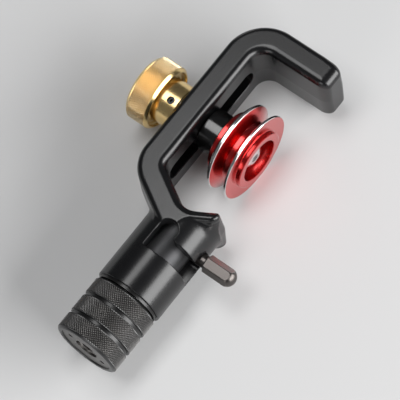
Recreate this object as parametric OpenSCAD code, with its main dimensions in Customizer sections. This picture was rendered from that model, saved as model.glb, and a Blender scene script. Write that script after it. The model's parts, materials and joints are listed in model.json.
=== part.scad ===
// Cable jacket slitter: a cast J-shaped body with a blade head, a sliding grooved roller and a feed knob.
// Millimetres. X runs along the blade axis toward the hook, Y toward the locking knob, Z through the body.

/* [Body casting] */
// Length over everything along the blade axis, from the feed knob's end to the back of the hook
overall_length = 130.2; // [126:0.1:160]
// Thickness of the flat J-shaped body along Z
body_thickness = 25.8; // [20:0.1:31]
// Width of the bar, the hook arm and the leg, seen from the front
bar_width = 10.6; // [8.8:0.1:12.8]
// Distance from the blade axis to the bar's inner face
bar_offset = 15.6; // [15:0.1:20]
// How far the hook's tip hangs past the blade axis
hook_drop = 12.8; // [6:0.1:16]
// Outer radius of the hook's bend
hook_bend_radius = 15.9; // [13.2:0.1:19]
// Outer radius of the bend between bar and leg
leg_bend_radius = 13.8; // [13:0.1:16]
// Slope of the leg and of both sides of the cable seat, from the blade axis
leg_angle = 60; // [54:1:66]
// Bevel along the body's long edges
edge_bevel = 1.6; // [0.6:0.1:2.4]
// Distance from the far end of the bar's slot to the back of the hook
slot_end_margin = 16.2; // [15:0.1:24]
// Distance from the bottom of the cable seat to the near end of the bar's slot
slot_lead = 9.2; // [8.8:0.1:14]
// Width of the long slot through the bar
slot_width = 8; // [6.6:0.1:9.6]

/* [Blade head] */
// Diameter of the round blade head
head_diameter = 25.5; // [24.5:0.1:30.7]
// Length from the rear of the head to the bottom of the cable seat
head_length = 33.8; // [33:0.1:41]
// Thickness of the wall on the free side of the cable seat
seat_wall = 4.9; // [3.6:0.1:6]
// How far the free side of the cable seat hangs past the blade axis
seat_drop = 12; // [9:0.1:12.4]
// Diameter of the bore that the blade carrier slides in
carrier_bore = 16.6; // [13.8:0.1:18]
// Diameter of the hole in the floor of the cable seat
blade_hole = 11.2; // [9:0.1:12]
// Thickness of the head wall between the carrier bore and the cable seat
seat_floor = 3.9; // [3:0.1:5]
// Width of the cross slot that the lever crosses in
cross_slot_width = 6.8; // [5.9:0.1:8]
// Distance from the rear of the head to the cross slot
cross_slot_start = 15.3; // [14:0.1:16]
// Width of the two pockets that lead forward from the cross slot
pocket_width = 7.2; // [6.2:0.1:8.8]
// Length of the pockets past the cross slot
pocket_length = 5.8; // [5:0.1:6.4]

/* [Blade carrier] */
// Length of the thick part of the carrier
carrier_length = 15.9; // [15:0.1:16.2]
// Forward and back travel of the blade carrier
feed_travel = 6.6; // [3:0.1:6.8]
// Length of the blade past the bottom of the cable seat
blade_reach = 3; // [1:0.1:5]
// Width of the blade
blade_width = 8; // [5:0.1:9.6]
// Thickness of the blade
blade_thickness = 1.2; // [0.6:0.1:1.6]
// Length of the blade's pointed end
blade_point = 3.4; // [2:0.1:4]
// Diameter of the lever's round neck
lever_neck = 4.8; // [3:0.1:5.8]
// Size across the flats of the lever's hexagon
lever_flats = 6; // [5.8:0.1:8]
// Length of the lever's hexagon
lever_hex_length = 12.1; // [8:0.1:20]
// Gap between the round head and the lever's hexagon
lever_hex_gap = 1.55; // [0.5:0.05:3]
// Turn of the hexagon about the lever's own axis
lever_hex_turn = 15; // [0:1:60]

/* [Feed knob] */
// Diameter of the feed knob
knob_diameter = 24.9; // [23:0.1:30]
// Length of the feed knob
knob_length = 22.2; // [18.5:0.1:26.8]
// Width of each of the two plain grooves around the feed knob
knob_groove_width = 1.3; // [0.6:0.1:2]
// Depth of the grooves
knob_groove_depth = 0.7; // [0.3:0.1:1.2]
// Bevel at the knob's two ends
knob_bevel = 0.7; // [0.3:0.1:1.2]
// Diameter of the plate set into the knob's end
plate_diameter = 20.2; // [18.6:0.1:21]
// Thickness of the end plate
plate_thickness = 2.6; // [2.2:0.1:4]
// Depth of the plate's face below the knob's end
plate_sink = 0.5; // [0:0.1:1]
// Diameter of the well around the knob's centre screw
plate_well = 8.8; // [8.6:0.1:10]
// Thickness of the knob's inner web
knob_web = 3.6; // [2.4:0.1:5]
// Diameter of the two pin-spanner holes
spanner_hole = 1.9; // [1:0.1:2.4]
// Distance from the knob's axis to each pin-spanner hole
spanner_radius = 7; // [6.4:0.1:8]
// Angle of the pin-spanner holes around the knob
spanner_angle = -64; // [-90:1:90]
// Diameter of the spindle's plain shaft
spindle_shaft = 12; // [9:0.1:12.8]
// Outside diameter of the spindle's thread
spindle_thread = 7.8; // [6.4:0.1:8]
// Outside diameter of the black ring between knob and head
ring_diameter = 23.8; // [22:0.1:24.4]
// Thickness of the black ring's visible flange
ring_flange = 1; // [0.6:0.1:2]

/* [Roller and carriage] */
// Distance from the bottom of the cable seat to the roller's axis
roller_distance = 31.9; // [28:0.1:38]
// Diameter over the roller's two flanges
roller_diameter = 33.2; // [28:0.1:39.9]
// Diameter at the bottom of the roller's groove
groove_diameter = 23.4; // [19.4:0.1:26]
// Width of the groove at the rims
groove_width = 6.1; // [4:0.1:7.4]
// Width of the flat floor of the groove
groove_floor = 2; // [1:0.1:3]
// Width of each rim
rim_width = 1; // [0.6:0.1:1.2]
// Diameter of the roller's rear boss
rear_boss_diameter = 23; // [18:0.1:25]
// Length of the rear boss
rear_boss_length = 3.2; // [2:0.1:3.4]
// Diameter of the roller's front boss
front_boss_diameter = 22.4; // [18:0.1:25]
// Height of the front boss
front_boss_length = 1.9; // [0.8:0.1:3]
// Diameter of the well in the front boss
roller_well = 16.4; // [15:0.1:17]
// Diameter of the axle that the roller turns on
axle_diameter = 8; // [6.8:0.1:9.6]
// Diameter of the black bush behind the roller
bush_diameter = 15.7; // [13:0.1:18]
// Length of the block that slides in the slot
block_length = 13; // [9:0.1:16]

/* [Locking knob] */
// Diameter of the brass locking knob
lock_diameter = 24.8; // [20.6:0.1:30]
// Length of the locking knob's knurled part
lock_length = 9.6; // [6:0.1:14]
// Distance from the bar's outer face to the knurled part
lock_stand = 8.2; // [6.6:0.1:12]
// Diameter of the locking knob's hub
lock_hub = 17.2; // [14:0.1:18]
// Bevel at the locking knob's two ends
lock_bevel = 1; // [0.4:0.1:1.6]
// Diameter of the set screw in the hub
set_screw = 2.8; // [2:0.1:4]
// Angle of the set screw around the hub
set_screw_angle = 103; // [0:1:180]

/* [Fits] */
// Radial clearance between parts that turn or slide on each other
running_fit = 0.05; // [0.02:0.01:0.1]
// Axial gap between faces that run past each other
face_gap = 0.1; // [0.05:0.01:0.3]
// Thickness of the washers
washer_thickness = 0.8; // [0.5:0.1:1]

/* [Hidden] */
$fn = 96;
// Overrun of a cut past the face it cuts
over = 1;
half_thick = body_thickness / 2;
outer_face = bar_offset + bar_width;
head_radius = head_diameter / 2;
// Head stations along X, each following from the knob's length
knob_gap = 0.3;
head_start = knob_length + knob_gap + ring_flange;
seat_x = head_start + head_length;
roller_x = seat_x + roller_distance;
slot_start = seat_x + slot_lead;
slot_end = overall_length - slot_end_margin;
slot_radius = slot_width / 2;
// Bend centres, shared by the bends and the straights they join
hook_middle_radius = hook_bend_radius - bar_width / 2;
hook_center_x = overall_length - hook_bend_radius;
hook_center_y = outer_face - hook_bend_radius;
arm_middle_x = overall_length - bar_width / 2;
arm_length = hook_center_y + hook_drop;
leg_inner_radius = leg_bend_radius - bar_width;
leg_middle_radius = leg_bend_radius - bar_width / 2;
leg_center_y = bar_offset - leg_inner_radius;
leg_center_x = seat_x + (leg_inner_radius + cos(leg_angle) * leg_center_y) / sin(leg_angle);
// The straight leg laps into the bend, a hair inside its outline
leg_lap = 1;
leg_inset = 0.05;
leg_length = (leg_center_y + cos(leg_angle) * leg_middle_radius) / sin(leg_angle);
// The seat's free corner is cut square, this share of its wall short of the sharp corner
seat_corner_cut = seat_wall / 3;
seat_end_x = seat_x + seat_drop / tan(leg_angle);
// Radii in the rear of the head, stepping out from the carrier's bore
bore_radius = carrier_bore / 2;
collar_radius = bore_radius + 0.6;
counterbore_radius = collar_radius + running_fit;
ring_thread_radius = counterbore_radius + 1.45;
ring_thread_length = 3.5;
collar_length = 2.2;
thrust_washer_x = head_start + ring_thread_length + face_gap;
collar_start = thrust_washer_x + washer_thickness + face_gap;
collar_end = collar_start + collar_length;
bore_start = collar_end + face_gap;
bore_end = seat_x - seat_floor;
// Blade carrier stations along X
carrier_end = bore_end - face_gap;
carrier_start = carrier_end - carrier_length;
carrier_radius = bore_radius - running_fit;
nose_radius = blade_hole / 2 - running_fit;
nose_recess = 1.2;
nose_end = seat_x - nose_recess;
thread_overlap = 5.2;
thread_end_room = 0.2;
blade_root_wall = 0.8;
blade_slot_gap = 0.05;
spindle_end = carrier_start + thread_overlap;
thread_bore_end = spindle_end + feed_travel + thread_end_room;
blade_start = thread_bore_end + blade_root_wall;
blade_tip = seat_x + blade_reach;
clamp_screw_radius = 1.5;
clamp_screw_inset = 1.9;
clamp_screw_x = carrier_end - clamp_screw_inset;
clamp_screw_sink = 0.5;
socket_depth = 1.4;
// Lever stations: X along the pockets, and distance from the blade axis along the lever
cross_slot_x = head_start + cross_slot_start;
cross_slot_end = cross_slot_x + cross_slot_width;
pocket_radius = pocket_width / 2;
pocket_end = cross_slot_end + pocket_length;
lever_end_gap = 0.2;
neck_radius = lever_neck / 2;
lever_x = pocket_end - neck_radius - lever_end_gap;
lever_root = spindle_thread / 2 + 0.6;
lever_hex_start = head_radius + lever_hex_gap;
lever_tip = lever_hex_start + lever_hex_length;
lever_bevel = 1.1;
// Grub screw that keeps the black ring from turning
grub_radius = 1.25;
grub_x = head_start + ring_thread_length / 2;
grub_end = ring_thread_radius - 1;
grub_sink = 0.6;
// Feed knob stations along X
knob_radius = knob_diameter / 2;
band_length = (knob_length - 2 * knob_groove_width) / 3;
plate_seat = plate_sink + plate_thickness;
web_end = plate_seat + knob_web;
knob_screw_radius = 2.5;
knob_screw_depth = 6;
knob_screw_hole = knob_screw_depth + 0.5;
knob_head_radius = 4.2;
knob_head_height = 1.9;
// Roller stations along Y, with the middle of the groove on the blade axis
roller_radius = roller_diameter / 2;
rear_rim = groove_width / 2 + rim_width;
rear_bevel = 0.8;
rear_face = rear_rim + rear_bevel;
boss_rear = rear_face + rear_boss_length;
front_face = -groove_width / 2 - rim_width;
boss_front = front_face - front_boss_length;
rim_round = 0.3;
well_floor = -0.6;
bearing_wall = 1.5;
axle_radius = axle_diameter / 2;
bearing_radius = axle_radius + bearing_wall;
// Carriage stations along Y
thrust_start = boss_rear + face_gap;
thrust_radius = bearing_radius + 1.9;
bush_start = thrust_start + washer_thickness + face_gap;
bush_end = bar_offset - face_gap;
bush_radius = bush_diameter / 2;
block_width = slot_width - 2 * running_fit;
block_end = outer_face - 0.3;
stud_wall = 1;
stud_radius = slot_radius - stud_wall;
spigot_radius = stud_radius + 0.8;
spigot_length = 6.5;
spigot_end = bush_end + spigot_length;
stud_start = bush_start + 1.5;
stud_bore_radius = stud_radius + running_fit;
stud_bore_start = stud_start - 0.5;
axle_end = well_floor - face_gap;
axle_washer_radius = bearing_radius + 0.7;
axle_screw_radius = 2.5;
axle_screw_depth = 5.5;
axle_screw_hole = axle_screw_depth + 0.5;
axle_head_radius = 4.75;
axle_head_height = 2.6;
axle_head_dome = 1.3;
axle_head_flat = 2.65;
axle_head_base = axle_end - washer_thickness;
axle_head_face = axle_head_base - axle_head_height;
axle_socket_flats = 3;
// Locking knob stations along Y
lock_washer_start = outer_face + face_gap;
lock_washer_radius = slot_radius + 4;
hub_start = lock_washer_start + washer_thickness + face_gap;
lock_start = outer_face + lock_stand;
lock_end = lock_start + lock_length;
lock_hub_radius = lock_hub / 2;
lock_radius = lock_diameter / 2;
stud_end = lock_end - 3;
dish_depth = 1.3;
dish_radius = lock_radius - 2.2;
outer_dish_depth = 0.6;
set_screw_radius = set_screw / 2;
set_screw_y = (hub_start + lock_start) / 2 - 0.6;
set_screw_sink = 1;
// Middle of the whole assembly, so that the origin is the bottom centre of its box
middle_x = overall_length / 2;
middle_y = (lock_end - lever_tip) / 2;
base_drop = max(roller_radius, half_thick, head_radius, lock_radius, knob_radius);
// Colours
casting_black = [0.16, 0.16, 0.17];
oxide_black = [0.12, 0.12, 0.12];
knob_black = [0.22, 0.22, 0.22];
plate_grey = [0.45, 0.44, 0.43];
bush_black = [0.08, 0.08, 0.08];
roller_red = [0.78, 0.10, 0.10];
brass_yellow = [0.85, 0.65, 0.30];
bronze_brown = [0.60, 0.42, 0.22];
gun_metal = [0.36, 0.34, 0.33];
steel_bright = [0.78, 0.78, 0.80];

// Radius to the corners of a hexagon
function hex_corner(flats) = flats / 2 / cos(30);

// A cylinder along X about the blade axis
module rod_x(radius, from_x, to_x) {
    translate([from_x, 0, 0]) rotate([0, 90, 0]) cylinder(r = radius, h = to_x - from_x);
}

// A cylinder along Y about the roller's axis
module rod_y(radius, from_y, to_y) {
    translate([roller_x, from_y, 0]) rotate([-90, 0, 0]) cylinder(r = radius, h = to_y - from_y);
}

// A hexagonal socket, cut from past its mouth down to its depth along +Z
module hex_socket(flats) {
    translate([0, 0, -over]) cylinder(r = hex_corner(flats), h = over + socket_depth, $fn = 6);
}

// A ring along Y about the roller's axis
module washer_y(outer, inner, from_y) {
    difference() {
        rod_y(outer, from_y, from_y + washer_thickness);
        rod_y(inner, from_y - over, from_y + washer_thickness + over);
    }
}

// A turned part about the roller's axis; the profile's points are radius and station along Y
module turned_y(profile) {
    translate([roller_x, 0, 0]) rotate([-90, 0, 0]) rotate_extrude() polygon(profile);
}

// A turned part about the blade axis; the profile's points are radius and station along X
module turned_x(profile) {
    rotate([0, 90, 0]) rotate_extrude() polygon(profile);
}

// Bevelled cross-section of the body: width across the beam, thickness along the second axis
module beam_section(inset = 0) {
    u = bar_width / 2 - inset;
    v = half_thick - inset;
    b = edge_bevel;
    polygon([
        [-u + b, -v], [u - b, -v], [u, -v + b], [u, v - b],
        [u - b, v], [-u + b, v], [-u, v - b], [-u, -v + b]
    ]);
}

// Straight beam along +X, centred on Y and Z
module beam(length, inset = 0) {
    rotate([90, 0, 90]) linear_extrude(length) beam_section(inset);
}

// Bent beam about Z, from the +X direction through the given angle
module bend(middle_radius, angle) {
    rotate_extrude(angle = angle) translate([middle_radius, 0]) beam_section();
}

// Outline along +X, from zero to the length, with its far corners bevelled
module bevelled_end(length, half_width) {
    b = edge_bevel;
    polygon([[0, -half_width], [length - b, -half_width], [length, -half_width + b],
        [length, half_width - b], [length - b, half_width], [0, half_width]]);
}

// Hook arm along +X, its end bevelled on all four sides
module hook_arm() {
    wide = bar_width;
    tall = body_thickness;
    intersection() {
        beam(arm_length);
        translate([0, 0, -tall]) linear_extrude(2 * tall) bevelled_end(arm_length, bar_width / 2);
        translate([0, wide, 0]) rotate([90, 0, 0]) linear_extrude(2 * wide)
            bevelled_end(arm_length, half_thick);
    }
}

// The J-shaped beam: leg, bend, bar, hook bend, hook arm
module j_beam() {
    translate([leg_center_x, leg_center_y, 0]) {
        rotate([0, 0, 90]) bend(leg_middle_radius, leg_angle);
        rotate([0, 0, 90 + leg_angle]) translate([leg_middle_radius, -leg_lap, 0])
            rotate([0, 0, 90]) beam(leg_length + leg_lap, leg_inset);
    }
    translate([leg_center_x, bar_offset + bar_width / 2, 0]) beam(hook_center_x - leg_center_x);
    translate([hook_center_x, hook_center_y, 0]) bend(hook_middle_radius, 90);
    translate([arm_middle_x, hook_center_y, 0]) rotate([0, 0, -90]) hook_arm();
}

// Wall on the free side of the cable seat, bevelled along its two long outer edges; the notch trims its face
module seat_wall_block() {
    run = seat_drop / sin(leg_angle);
    b = edge_bevel;
    v = half_thick;
    intersection() {
        translate([seat_x, 0, 0]) rotate([0, 0, -leg_angle]) rotate([90, 0, 90])
            linear_extrude(run + seat_wall)
                polygon([[over, -v], [over, v], [b - seat_wall, v], [-seat_wall, v - b],
                    [-seat_wall, b - v], [b - seat_wall, -v]]);
        translate([0, -seat_drop, -body_thickness])
            cube([overall_length, seat_drop, 2 * body_thickness]);
    }
}

// Everything in front of the cable seat's two sloping faces, and past its free corner
module seat_notch() {
    reach = head_radius + over;
    spread = reach / tan(leg_angle);
    corner_depth = 0.7 * seat_drop;
    translate([0, 0, -body_thickness]) linear_extrude(2 * body_thickness) {
        polygon([[seat_x, 0], [seat_x + spread, reach], [seat_x + spread, -reach]]);
        translate([seat_end_x - seat_corner_cut, -reach]) square([spread, reach - corner_depth]);
    }
}

// A pocket that leads forward from the cross slot, opening in +Z
module lever_pocket() {
    straight_end = pocket_end - pocket_radius;
    translate([cross_slot_x, -pocket_radius, 0])
        cube([straight_end - cross_slot_x, pocket_width, head_diameter]);
    translate([straight_end, 0, 0]) cylinder(r = pocket_radius, h = head_diameter);
}

// The lever's opening: two pockets a quarter turn apart and the cross slot between them
module lever_opening() {
    lever_pocket();
    rotate([90, 0, 0]) lever_pocket();
    rotate([90, 0, 0]) translate([cross_slot_x, 0, 0]) rotate([0, 90, 0]) rotate([0, 0, 90])
        rotate_extrude(angle = 90) square([head_diameter, cross_slot_width]);
}

// Long slot through the bar
module bar_slot() {
    first = slot_start + slot_radius;
    last = slot_end - slot_radius;
    from_y = bar_offset - over;
    depth = bar_width + 2 * over;
    translate([first, from_y, -slot_radius]) cube([last - first, depth, slot_width]);
    for (end_x = [first, last])
        translate([end_x, from_y, 0]) rotate([-90, 0, 0]) cylinder(r = slot_radius, h = depth);
}

// Hole for the grub screw, from the head's underside into the black ring
module grub_hole() {
    translate([grub_x, 0, -head_diameter]) cylinder(r = grub_radius, h = head_diameter - grub_end);
}

// Cast body: bar, hook, leg and blade head in one piece
module body_casting() {
    color(casting_black) difference() {
        union() {
            j_beam();
            seat_wall_block();
            rod_x(head_radius, head_start, seat_end_x);
        }
        seat_notch();
        rod_x(ring_thread_radius, head_start - over, head_start + ring_thread_length);
        rod_x(counterbore_radius, head_start, bore_start);
        rod_x(bore_radius, head_start, bore_end);
        rod_x(blade_hole / 2, head_start, seat_x + over);
        difference() {
            lever_opening();
            rod_x(bore_radius - over, cross_slot_x - over, pocket_end + over);
        }
        bar_slot();
        grub_hole();
    }
}

// Black ring that closes the rear of the head and guides the spindle
module guide_ring() {
    color(oxide_black) difference() {
        union() {
            rod_x(ring_diameter / 2, head_start - ring_flange, head_start);
            rod_x(ring_thread_radius, head_start, head_start + ring_thread_length);
        }
        rod_x(spindle_shaft / 2 + running_fit, 0, head_start + ring_thread_length + over);
        grub_hole();
    }
}

// Small screw that locks the black ring
module ring_grub_screw() {
    length = head_radius - grub_sink - grub_end;
    color(gun_metal) translate([grub_x, 0, grub_sink - head_radius]) difference() {
        cylinder(r = grub_radius, h = length);
        hex_socket(grub_radius);
    }
}

// Feed knob: three knurled bands between plain grooves, hollow behind its end plate
module feed_knob() {
    groove_radius = knob_radius - knob_groove_depth;
    second = band_length + knob_groove_width;
    third = 2 * second;
    color(knob_black) difference() {
        turned_x([
            [0, 0],
            [knob_radius - knob_bevel, 0],
            [knob_radius, knob_bevel],
            [knob_radius, band_length],
            [groove_radius, band_length],
            [groove_radius, second],
            [knob_radius, second],
            [knob_radius, second + band_length],
            [groove_radius, second + band_length],
            [groove_radius, third],
            [knob_radius, third],
            [knob_radius, knob_length - knob_bevel],
            [knob_radius - knob_bevel, knob_length],
            [0, knob_length]
        ]);
        rod_x(plate_diameter / 2, -over, plate_seat);
        rod_x(knob_screw_radius, 0, knob_length);
        rod_x(spindle_shaft / 2, web_end, knob_length + over);
    }
}

// Plate set into the knob's end, with a well for the screw and two pin-spanner holes
module knob_end_plate() {
    color(plate_grey) difference() {
        rod_x(plate_diameter / 2, plate_sink, plate_seat);
        rod_x(plate_well / 2, plate_sink - over, plate_seat + over);
        for (turn = [0, 180])
            rotate([spanner_angle + turn, 0, 0]) translate([plate_sink - over, 0, spanner_radius])
                rotate([0, 90, 0]) cylinder(r = spanner_hole / 2, h = plate_thickness + 2 * over);
    }
}

// Screw that holds the feed knob on the spindle
module knob_screw() {
    head_face = plate_seat - knob_head_height;
    color(gun_metal) difference() {
        union() {
            rod_x(knob_head_radius, head_face, plate_seat);
            rod_x(knob_screw_radius, plate_seat, web_end + knob_screw_depth);
        }
        translate([head_face, 0, 0]) rotate([0, 90, 0]) hex_socket(knob_head_radius);
    }
}

// Feed spindle: shaft in the knob, thrust collar in the head, thread in the carrier
module feed_spindle() {
    color(steel_bright) difference() {
        union() {
            rod_x(spindle_shaft / 2, web_end, collar_start);
            rod_x(collar_radius, collar_start, collar_end);
            rod_x(spindle_thread / 2, collar_end, spindle_end);
        }
        rod_x(knob_screw_radius, web_end - over, web_end + knob_screw_hole);
    }
}

// Bearing washer between the black ring and the spindle's collar
module thrust_washer() {
    washer_end = thrust_washer_x + washer_thickness;
    color(bronze_brown) difference() {
        rod_x(collar_radius, thrust_washer_x, washer_end);
        rod_x(spindle_shaft / 2, thrust_washer_x - over, washer_end + over);
    }
}

// Blade carrier, slotted for the blade and bored for thread, lever and clamp screw
module blade_carrier() {
    slot_height = blade_width + 2 * blade_slot_gap;
    slot_thick = blade_thickness + 2 * blade_slot_gap;
    color(gun_metal) difference() {
        union() {
            rod_x(carrier_radius, carrier_start, carrier_end);
            rod_x(nose_radius, carrier_end, nose_end);
        }
        rod_x(spindle_thread / 2 + running_fit, carrier_start - over, thread_bore_end);
        translate([blade_start - blade_slot_gap, -slot_thick / 2, -slot_height / 2])
            cube([seat_x, slot_thick, slot_height]);
        translate([lever_x, -lever_root, 0]) rotate([90, 0, 0])
            cylinder(r = neck_radius, h = carrier_bore);
        translate([clamp_screw_x, 0, 0]) rotate([-90, 0, 0])
            cylinder(r = clamp_screw_radius, h = carrier_bore);
    }
}

// Flat blade with a point on the blade axis
module blade() {
    half = blade_width / 2;
    shoulder = blade_tip - blade_point;
    color(steel_bright) translate([0, blade_thickness / 2, 0]) rotate([90, 0, 0])
        linear_extrude(blade_thickness)
            polygon([[blade_start, -half], [shoulder, -half], [blade_tip, 0],
                [shoulder, half], [blade_start, half]]);
}

// Screw that clamps the blade in its carrier
module blade_clamp_screw() {
    start_y = blade_thickness / 2;
    end_y = carrier_radius - clamp_screw_sink;
    color(gun_metal) translate([clamp_screw_x, end_y, 0]) rotate([90, 0, 0]) difference() {
        cylinder(r = clamp_screw_radius, h = end_y - start_y);
        hex_socket(clamp_screw_radius);
    }
}

// Lever: a round neck through the head's opening and a bevelled hexagon outside it
module lever_pin() {
    corner = hex_corner(lever_flats);
    clear = corner + over;
    half_bevel = lever_bevel / 2;
    neck_end = lever_hex_start + lever_bevel;
    color(gun_metal) translate([lever_x, 0, 0]) rotate([90, 0, 0]) {
        translate([0, 0, lever_root]) cylinder(r = neck_radius, h = neck_end - lever_root);
        intersection() {
            rotate([0, 0, lever_hex_turn]) translate([0, 0, lever_hex_start])
                cylinder(r = corner, h = lever_hex_length, $fn = 6);
            rotate_extrude() polygon([
                [0, lever_hex_start],
                [corner - half_bevel, lever_hex_start],
                [clear, lever_hex_start + half_bevel + over],
                [clear, lever_tip - lever_bevel - over],
                [corner - lever_bevel, lever_tip],
                [0, lever_tip]
            ]);
        }
    }
}

// Black bush: the roller's axle, the spacer behind it and the spigot in the slide block
module axle_bush() {
    color(bush_black) difference() {
        union() {
            rod_y(axle_radius, axle_end, bush_start);
            rod_y(bush_radius, bush_start, bush_end);
            rod_y(spigot_radius, bush_end, spigot_end);
        }
        rod_y(axle_screw_radius, axle_end - over, axle_end + axle_screw_hole);
        rod_y(stud_bore_radius, stud_bore_start, spigot_end + over);
    }
}

// Block that slides in the bar's slot
module slide_block() {
    color(gun_metal) difference() {
        translate([roller_x - block_length / 2, bush_end, -block_width / 2])
            cube([block_length, block_end - bush_end, block_width]);
        rod_y(spigot_radius, bush_end - over, spigot_end);
        rod_y(stud_bore_radius, bush_end, block_end + over);
    }
}

// Washer under the axle screw's head
module axle_washer() {
    color(steel_bright) washer_y(axle_washer_radius, axle_screw_radius, axle_head_base);
}

// Domed socket screw that keeps the roller on its axle
module axle_screw() {
    half_dome = axle_head_dome / 2;
    color(steel_bright) difference() {
        union() {
            turned_y([
                [0, axle_head_face],
                [axle_head_flat, axle_head_face],
                [axle_head_radius - half_dome, axle_head_face + half_dome],
                [axle_head_radius, axle_head_face + axle_head_dome],
                [axle_head_radius, axle_head_base],
                [0, axle_head_base]
            ]);
            rod_y(axle_screw_radius, axle_head_base, axle_end + axle_screw_depth);
        }
        translate([roller_x, axle_head_face, 0]) rotate([-90, 0, 0]) hex_socket(axle_socket_flats);
    }
}

// Grooved roller with a boss on each side and a well for the axle screw
module roller() {
    floor_radius = groove_diameter / 2;
    half_floor = groove_floor / 2;
    half_groove = groove_width / 2;
    rear_radius = rear_boss_diameter / 2;
    front_radius = front_boss_diameter / 2;
    color(roller_red) turned_y([
        [bearing_radius, boss_rear],
        [rear_radius - rim_round, boss_rear],
        [rear_radius, boss_rear - rim_round],
        [rear_radius, rear_face],
        [roller_radius - rear_bevel, rear_face],
        [roller_radius, rear_rim],
        [roller_radius, half_groove],
        [floor_radius, half_floor],
        [floor_radius, -half_floor],
        [roller_radius, -half_groove],
        [roller_radius, front_face + rim_round],
        [roller_radius - rim_round, front_face],
        [front_radius, front_face],
        [front_radius, boss_front + rim_round],
        [front_radius - rim_round, boss_front],
        [roller_well / 2, boss_front],
        [roller_well / 2, well_floor],
        [bearing_radius, well_floor]
    ]);
}

// Plain bearing pressed into the roller
module roller_bearing() {
    color(bronze_brown) difference() {
        rod_y(bearing_radius, well_floor, boss_rear);
        rod_y(axle_radius + running_fit, well_floor - over, boss_rear + over);
    }
}

// Thrust washer between the roller and the bush
module roller_thrust_washer() {
    color(steel_bright) washer_y(thrust_radius, axle_radius, thrust_start);
}

// Brass locking knob with a hub, a shallow dish on each side and a blind bore for the stud
module lock_knob() {
    color(brass_yellow) difference() {
        turned_y([
            [stud_radius, hub_start],
            [lock_hub_radius, hub_start],
            [lock_hub_radius, lock_start + dish_depth],
            [dish_radius, lock_start + dish_depth],
            [dish_radius + dish_depth / 2, lock_start],
            [lock_radius - lock_bevel, lock_start],
            [lock_radius, lock_start + lock_bevel],
            [lock_radius, lock_end - lock_bevel],
            [lock_radius - lock_bevel, lock_end],
            [dish_radius, lock_end],
            [dish_radius - outer_dish_depth, lock_end - outer_dish_depth],
            [0, lock_end - outer_dish_depth],
            [0, stud_end],
            [stud_radius, stud_end]
        ]);
        translate([roller_x, set_screw_y, 0]) rotate([0, 90 - set_screw_angle, 0])
            cylinder(r = set_screw_radius, h = lock_radius);
    }
}

// Set screw that locks the knob on its stud
module lock_set_screw() {
    outer_end = lock_hub_radius - set_screw_sink;
    color(gun_metal) translate([roller_x, set_screw_y, 0]) rotate([0, 90 - set_screw_angle, 0])
        translate([0, 0, outer_end]) rotate([180, 0, 0]) difference() {
            cylinder(r = set_screw_radius, h = outer_end - stud_radius);
            hex_socket(set_screw_radius);
        }
}

// Locking stud, from inside the bush to inside the brass knob
module lock_stud() {
    color(steel_bright) rod_y(stud_radius, stud_start, stud_end);
}

// Washer between the bar and the locking knob
module lock_washer() {
    color(steel_bright) washer_y(lock_washer_radius, stud_radius, lock_washer_start);
}

translate([-middle_x, -middle_y, base_drop]) {
    body_casting();
    guide_ring();
    ring_grub_screw();
    feed_knob();
    knob_end_plate();
    knob_screw();
    feed_spindle();
    thrust_washer();
    blade_carrier();
    blade();
    blade_clamp_screw();
    lever_pin();
    axle_bush();
    slide_block();
    axle_washer();
    axle_screw();
    roller_thrust_washer();
    roller();
    roller_bearing();
    lock_knob();
    lock_set_screw();
    lock_stud();
    lock_washer();
}
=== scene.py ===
import json
import math

import bmesh
import bpy
import numpy as np
from mathutils import Matrix, Vector


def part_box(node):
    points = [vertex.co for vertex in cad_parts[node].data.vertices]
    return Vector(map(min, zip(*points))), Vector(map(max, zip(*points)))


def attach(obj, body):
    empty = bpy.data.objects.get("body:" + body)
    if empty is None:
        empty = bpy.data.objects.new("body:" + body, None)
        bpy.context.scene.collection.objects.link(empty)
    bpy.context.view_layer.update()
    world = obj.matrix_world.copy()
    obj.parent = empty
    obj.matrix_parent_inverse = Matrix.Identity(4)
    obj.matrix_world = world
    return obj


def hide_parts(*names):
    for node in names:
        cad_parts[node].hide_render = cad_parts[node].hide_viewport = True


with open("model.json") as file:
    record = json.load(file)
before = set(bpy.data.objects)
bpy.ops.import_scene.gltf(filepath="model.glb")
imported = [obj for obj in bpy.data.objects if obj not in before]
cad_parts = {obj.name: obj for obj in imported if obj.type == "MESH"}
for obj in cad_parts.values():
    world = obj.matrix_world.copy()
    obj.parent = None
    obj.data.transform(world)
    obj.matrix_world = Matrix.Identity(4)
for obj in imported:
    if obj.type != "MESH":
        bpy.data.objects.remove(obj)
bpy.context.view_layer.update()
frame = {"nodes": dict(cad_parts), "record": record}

MM = 0.001

# ---------------------------------------------------------------- places from the frame, in millimetres
KNOB_LOW, KNOB_HIGH = (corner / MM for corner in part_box("feed_knob"))
BODY_LOW, BODY_HIGH = (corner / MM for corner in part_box("body_casting"))
ROLLER_LOW, ROLLER_HIGH = (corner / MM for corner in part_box("roller"))
LOCK_LOW, LOCK_HIGH = (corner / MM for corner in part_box("lock_knob"))
LEVER_LOW, LEVER_HIGH = (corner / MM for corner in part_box("lever_pin"))
PLATE_LOW, PLATE_HIGH = (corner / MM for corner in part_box("knob_end_plate"))
GRUB_LOW, GRUB_HIGH = (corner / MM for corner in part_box("ring_grub_screw"))
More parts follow.
